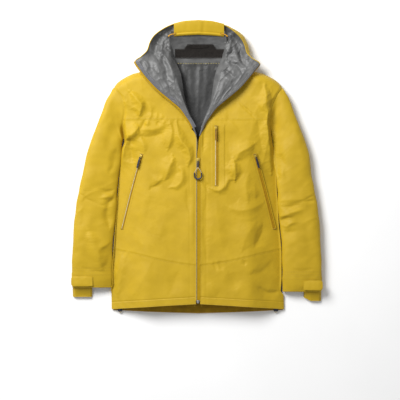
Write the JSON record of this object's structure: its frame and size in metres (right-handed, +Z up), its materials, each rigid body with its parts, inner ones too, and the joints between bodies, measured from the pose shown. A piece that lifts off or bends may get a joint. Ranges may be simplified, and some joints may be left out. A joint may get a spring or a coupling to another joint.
{
  "type": "hardshell jacket",
  "caption": "Hooded waterproof shell jacket lying front up, half unzipped with the collar turned out, with chest and hand pockets.",
  "frame": {"origin": "on the surface that the jacket lies on, under the middle of its bounding box", "axes": "+Y from the hem to the hood, +Z up out of the jacket's front, +X to the wearer's left"},
  "size_m": [0.797, 0.9254, 0.0659],
  "materials": {
    "face_fabric": "matt three-layer shell fabric",
    "lining": "smooth laminate backer with a soft sheen",
    "zip_tape": "laminated water-repellent tape",
    "hem_facing": "shaded inner facing",
    "pocket_zip": "laminated tape with a pale edge",
    "label": "woven band",
    "dark_plastic": "moulded",
    "ochre_plastic": "moulded",
    "pull_cord": "braided cord",
    "slider": "painted zinc"
  },
  "bodies": {
    "torso": {"back_panel": "lining", "back_hem_facing": "hem_facing", "zip_bottom_box": "slider", "chest_zip": "pocket_zip", "chest_pocket_bag": "lining", "neck_band": "lining", "front_panel_left": "face_fabric", "front_panel_right": "face_fabric", "lower_panel_left": "face_fabric", "lower_panel_right": "face_fabric", "hem_channel_left": "face_fabric", "hem_channel_right": "face_fabric", "yoke_left": "face_fabric", "yoke_right": "face_fabric", "side_panel_left": "face_fabric", "side_panel_right": "face_fabric", "lapel_left": "lining", "lapel_right": "lining", "collar_left": "lining", "collar_right": "lining", "zip_tape_left": "zip_tape", "zip_tape_right": "zip_tape", "hand_zip_left": "pocket_zip", "hand_zip_right": "pocket_zip", "hand_pocket_bag_left": "lining", "hand_pocket_bag_right": "lining", "hem_cord_lock_left": "dark_plastic", "hem_cord_lock_right": "dark_plastic", "sleeve_head_left": "face_fabric", "sleeve_head_right": "face_fabric"},
    "hood": {"hood_center_panel": "lining", "hood_side_left": "lining", "hood_side_right": "lining", "hood_peak": "face_fabric", "hood_cord_left": "face_fabric", "hood_cord_right": "face_fabric", "neck_label": "label", "hanger_loop": "label"},
    "main_slider": {"main_slider": "slider"},
    "main_pull": {"main_pull": "dark_plastic", "main_pull_cord": "pull_cord", "main_pull_grip": "dark_plastic"},
    "chest_slider": {"chest_slider": "slider"},
    "chest_pull": {"chest_pull": "ochre_plastic"},
    "hand_slider_left": {"hand_left_slider": "slider"},
    "hand_pull_left": {"hand_left_pull": "dark_plastic"},
    "upper_sleeve_left": {"upper_sleeve_left": "face_fabric", "elbow_panel_left": "face_fabric"},
    "forearm_left": {"forearm_left": "face_fabric", "cuff_left": "face_fabric", "hand_cover_left": "face_fabric"},
    "cuff_tab_left": {"cuff_tab_left": "face_fabric"},
    "hand_slider_right": {"hand_right_slider": "slider"},
    "hand_pull_right": {"hand_right_pull": "dark_plastic"},
    "upper_sleeve_right": {"upper_sleeve_right": "face_fabric", "elbow_panel_right": "face_fabric"},
    "forearm_right": {"forearm_right": "face_fabric", "cuff_right": "face_fabric", "hand_cover_right": "face_fabric"},
    "cuff_tab_right": {"cuff_tab_right": "face_fabric"}
  },
  "joints": [
    {"name": "hood_lift", "type": "hinge", "parent": "torso", "child": "hood", "pos_m": [0, 0.325, 0.012], "axis": [1, 0, 0], "range_deg": [0, 60], "deforming": ["collar_left", "collar_right", "neck_band"]},
    {"name": "main_slide", "type": "slide", "parent": "torso", "child": "main_slider", "axis": [0, -1, 0], "range_m": [-0.04, 0.425]},
    {"name": "main_pull_hinge", "type": "hinge", "parent": "main_slider", "child": "main_pull", "pos_m": [0, 0.019, 0.0592], "axis": [-1, 0, 0], "range_deg": [0, 170]},
    {"name": "chest_slide", "type": "slide", "parent": "torso", "child": "chest_slider", "axis": [0, -1, 0], "range_m": [0, 0.17]},
    {"name": "chest_pull_hinge", "type": "hinge", "parent": "chest_slider", "child": "chest_pull", "pos_m": [0.0567, 0.12, 0.059], "axis": [-1, 0, 0], "range_deg": [0, 170]},
    {"name": "shoulder_left", "type": "hinge", "parent": "torso", "child": "upper_sleeve_left", "pos_m": [0.29, 0.105, 0.02], "axis": [0, 0, 1], "range_deg": [0, 40], "deforming": ["sleeve_head_left"]},
    {"name": "elbow_left", "type": "hinge", "parent": "upper_sleeve_left", "child": "forearm_left", "pos_m": [0.32, -0.107, 0.02], "axis": [-1, 0, 0], "range_deg": [0, 90], "deforming": ["elbow_panel_left"]},
    {"name": "cuff_tab_hinge_left", "type": "hinge", "parent": "forearm_left", "child": "cuff_tab_left", "pos_m": [0.334, -0.3605, 0.0358], "axis": [0, -1, 0], "range_deg": [0, 160]},
    {"name": "hand_slide_left", "type": "slide", "parent": "torso", "child": "hand_slider_left", "axis": [0.2529, -0.9627, -0.0961], "range_m": [0, 0.225]},
    {"name": "hand_pull_hinge_left", "type": "hinge", "parent": "hand_slider_left", "child": "hand_pull_left", "pos_m": [0.18302, 0.03137, 0.05264], "axis": [-0.8999, -0.2706, 0.342], "range_deg": [0, 170]},
    {"name": "shoulder_right", "type": "hinge", "parent": "torso", "child": "upper_sleeve_right", "pos_m": [-0.29, 0.105, 0.02], "axis": [0, 0, -1], "range_deg": [0, 40], "deforming": ["sleeve_head_right"]},
    {"name": "elbow_right", "type": "hinge", "parent": "upper_sleeve_right", "child": "forearm_right", "pos_m": [-0.32, -0.107, 0.02], "axis": [-1, 0, 0], "range_deg": [0, 90], "deforming": ["elbow_panel_right"]},
    {"name": "cuff_tab_hinge_right", "type": "hinge", "parent": "forearm_right", "child": "cuff_tab_right", "pos_m": [-0.334, -0.3605, 0.0358], "axis": [0, 1, 0], "range_deg": [0, 160]},
    {"name": "hand_slide_right", "type": "slide", "parent": "torso", "child": "hand_slider_right", "axis": [-0.2529, -0.9627, -0.0961], "range_m": [0, 0.225]},
    {"name": "hand_pull_hinge_right", "type": "hinge", "parent": "hand_slider_right", "child": "hand_pull_right", "pos_m": [-0.18302, 0.03137, 0.05264], "axis": [-0.8999, 0.2706, -0.342], "range_deg": [0, 170]}
  ]
}
